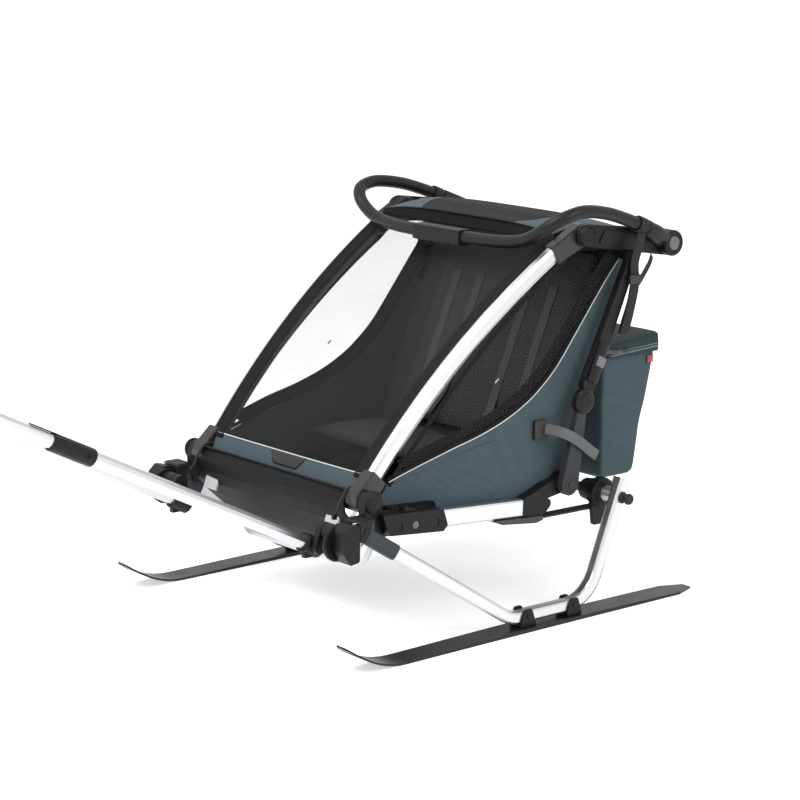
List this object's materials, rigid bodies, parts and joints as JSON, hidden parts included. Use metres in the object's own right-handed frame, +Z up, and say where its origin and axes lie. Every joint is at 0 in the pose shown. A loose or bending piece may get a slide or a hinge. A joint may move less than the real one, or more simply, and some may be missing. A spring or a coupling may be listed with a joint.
{
  "type": "child bike trailer",
  "caption": "Child trailer with a folding frame and cloth cabin, set up on skis with tow poles, a swing handlebar and a rear cargo bag.",
  "frame": {"origin": "middle of the part's box, on the ground under the skis' soles", "axes": "+Z up, nose and tow poles to -Y, the trailer's left side to +X"},
  "size_m": [0.893, 2.5138, 0.9887],
  "materials": {
    "backrest": "weave",
    "bag_lid": "coated weave",
    "cargo_bag": "coated weave",
    "floor_pan": "coated weave",
    "front_bumper": "fine texture",
    "front_cover": "tinted window and mesh",
    "front_cross_tube": "satin anodised",
    "handlebar": "satin black",
    "handlebar_block": "fine texture",
    "handlebar_button_left": "satin",
    "handlebar_button_right": "satin",
    "hub_left": "fine texture",
    "hub_right": "fine texture",
    "leaf_spring_left": "dark",
    "leaf_spring_right": "dark",
    "leg_socket_left": "satin",
    "leg_socket_right": "satin",
    "pillar_left": "satin anodised, plastic sockets",
    "pillar_right": "satin anodised, plastic sockets",
    "pole_clamp_left": "fine texture",
    "pole_clamp_right": "fine texture",
    "pole_front_left": "satin anodised",
    "pole_front_right": "satin anodised",
    "pole_sleeve_left": "satin",
    "pole_sleeve_right": "satin",
    "rear_axle": "satin",
    "rear_corner_left": "fine texture",
    "rear_corner_right": "fine texture",
    "receiver_button_left": "satin",
    "receiver_button_right": "satin",
    "receiver_left": "fine texture",
    "receiver_right": "fine texture",
    "reflector_left": "clear, ribbed behind",
    "reflector_right": "clear, ribbed behind",
    "release_knob_left": "satin",
    "release_knob_right": "satin",
    "roof_bar_left": "fine texture",
    "roof_bar_right": "fine texture",
    "roof_cover": "coated weave",
    "seat": "weave",
    "side_panel_left": "weave with tinted window",
    "side_panel_right": "weave with tinted window",
    "side_rail_left": "satin anodised",
    "side_rail_right": "satin anodised",
    "ski_bracket_front_left": "fine texture",
    "ski_bracket_front_right": "fine texture",
    "ski_bracket_rear_left": "fine texture",
    "ski_bracket_rear_right": "fine texture",
    "ski_left": "polished",
    "ski_leg_left": "satin anodised",
    "ski_leg_right": "satin anodised",
    "ski_right": "polished",
    "strut_lower_left": "satin",
    "strut_lower_right": "satin",
    "strut_upper_left": "fine texture",
    "strut_upper_right": "fine texture",
    "tow_bracket_left": "fine texture",
    "tow_bracket_right": "fine texture",
    "tow_pole_left": "satin anodised",
    "tow_pole_right": "satin anodised"
  },
  "bodies": {
    "chassis": {"side_rail_left": "side_rail_left", "side_rail_right": "side_rail_right", "receiver_left": "receiver_left", "receiver_right": "receiver_right", "rear_corner_left": "rear_corner_left", "rear_corner_right": "rear_corner_right", "front_cross_tube": "front_cross_tube", "floor_pan": "floor_pan", "front_bumper": "front_bumper", "reflector_left": "reflector_left", "reflector_right": "reflector_right", "leaf_spring_left": "leaf_spring_left", "leaf_spring_right": "leaf_spring_right", "rear_axle": "rear_axle", "hub_left": "hub_left", "hub_right": "hub_right", "leg_socket_left": "leg_socket_left", "leg_socket_right": "leg_socket_right", "ski_leg_left": "ski_leg_left", "ski_leg_right": "ski_leg_right", "ski_left": "ski_left", "ski_right": "ski_right", "ski_bracket_front_left": "ski_bracket_front_left", "ski_bracket_front_right": "ski_bracket_front_right", "ski_bracket_rear_left": "ski_bracket_rear_left", "ski_bracket_rear_right": "ski_bracket_rear_right", "tow_bracket_left": "tow_bracket_left", "tow_bracket_right": "tow_bracket_right", "seat": "seat", "backrest": "backrest", "cargo_bag": "cargo_bag", "side_panel_left": "side_panel_left", "side_panel_right": "side_panel_right"},
    "pillars": {"pillar_left": "pillar_left", "pillar_right": "pillar_right", "front_cover": "front_cover"},
    "roof_frame": {"roof_bar_left": "roof_bar_left", "roof_bar_right": "roof_bar_right", "roof_cover": "roof_cover"},
    "lower_struts": {"strut_lower_left": "strut_lower_left", "strut_lower_right": "strut_lower_right"},
    "upper_struts": {"strut_upper_left": "strut_upper_left", "strut_upper_right": "strut_upper_right"},
    "handlebar_arm": {"handlebar": "handlebar", "handlebar_block": "handlebar_block"},
    "bag_top": {"bag_lid": "bag_lid"},
    "handle_button_left": {"handlebar_button_left": "handlebar_button_left"},
    "pole_left": {"pole_clamp_left": "pole_clamp_left", "tow_pole_left": "tow_pole_left", "pole_sleeve_left": "pole_sleeve_left", "pole_front_left": "pole_front_left"},
    "release_left": {"release_knob_left": "release_knob_left"},
    "latch_left": {"receiver_button_left": "receiver_button_left"},
    "handle_button_right": {"handlebar_button_right": "handlebar_button_right"},
    "pole_right": {"pole_clamp_right": "pole_clamp_right", "tow_pole_right": "tow_pole_right", "pole_sleeve_right": "pole_sleeve_right", "pole_front_right": "pole_front_right"},
    "release_right": {"release_knob_right": "release_knob_right"},
    "latch_right": {"receiver_button_right": "receiver_button_right"}
  },
  "joints": [
    {"name": "front_fold", "type": "hinge", "parent": "chassis", "child": "pillars", "pos_m": [0, 0.3329, 0.322], "axis": [-1, 0, 0], "range_deg": [0, 30], "deforming": ["front_cover", "roof_cover", "side_panel_left", "side_panel_right", "backrest", "cargo_bag", "bag_lid"]},
    {"name": "roof_fold", "type": "hinge", "parent": "pillars", "child": "roof_frame", "pos_m": [0, 0.9319, 0.827], "axis": [-1, 0, 0], "range_deg": [-15.5, 0.5]},
    {"name": "lower_strut_fold", "type": "hinge", "parent": "chassis", "child": "lower_struts", "pos_m": [0, 0.8689, 0.281], "axis": [-1, 0, 0], "range_deg": [-11.2, 0.5]},
    {"name": "knee_fold", "type": "hinge", "parent": "lower_struts", "child": "upper_struts", "pos_m": [0, 0.9069, 0.465], "axis": [-1, 0, 0], "range_deg": [-0.5, 91.41]},
    {"name": "handlebar_swing", "type": "hinge", "parent": "roof_frame", "child": "handlebar_arm", "pos_m": [0, 1.1799, 0.79], "axis": [-1, 0, 0], "range_deg": [0, 160]},
    {"name": "bag_lid_hinge", "type": "hinge", "parent": "chassis", "child": "bag_top", "pos_m": [0, 1.0809, 0.548], "axis": [1, 0, 0], "range_deg": [0, 95]},
    {"name": "handle_button_left_push", "type": "slide", "parent": "handlebar_arm", "child": "handle_button_left", "axis": [-1, 0, 0], "range_m": [0, 0.002], "stiffness_N_per_m": 800},
    {"name": "pole_left_pitch", "type": "hinge", "parent": "chassis", "child": "pole_left", "pos_m": [0.24, 0.2509, 0.264], "axis": [-1, 0, 0], "range_deg": [0, 55]},
    {"name": "release_left_pull", "type": "slide", "parent": "chassis", "child": "release_left", "axis": [1, 0, 0], "range_m": [0, 0.006], "stiffness_N_per_m": 600},
    {"name": "latch_left_push", "type": "slide", "parent": "chassis", "child": "latch_left", "axis": [-1, 0, 0], "range_m": [0, 0.004], "stiffness_N_per_m": 800},
    {"name": "handle_button_right_push", "type": "slide", "parent": "handlebar_arm", "child": "handle_button_right", "axis": [1, 0, 0], "range_m": [0, 0.002], "stiffness_N_per_m": 800},
    {"name": "pole_right_pitch", "type": "hinge", "parent": "chassis", "child": "pole_right", "pos_m": [-0.24, 0.2509, 0.264], "axis": [-1, 0, 0], "range_deg": [0, 55]},
    {"name": "release_right_pull", "type": "slide", "parent": "chassis", "child": "release_right", "axis": [-1, 0, 0], "range_m": [0, 0.006], "stiffness_N_per_m": 600},
    {"name": "latch_right_push", "type": "slide", "parent": "chassis", "child": "latch_right", "axis": [1, 0, 0], "range_m": [0, 0.004], "stiffness_N_per_m": 800}
  ],
  "couplings": [
    {"joint": "roof_fold", "follows": "front_fold", "ratio": -0.5},
    {"joint": "lower_strut_fold", "follows": "front_fold", "ratio": -0.3566},
    {"joint": "knee_fold", "follows": "front_fold", "ratio": 3.0303}
  ]
}
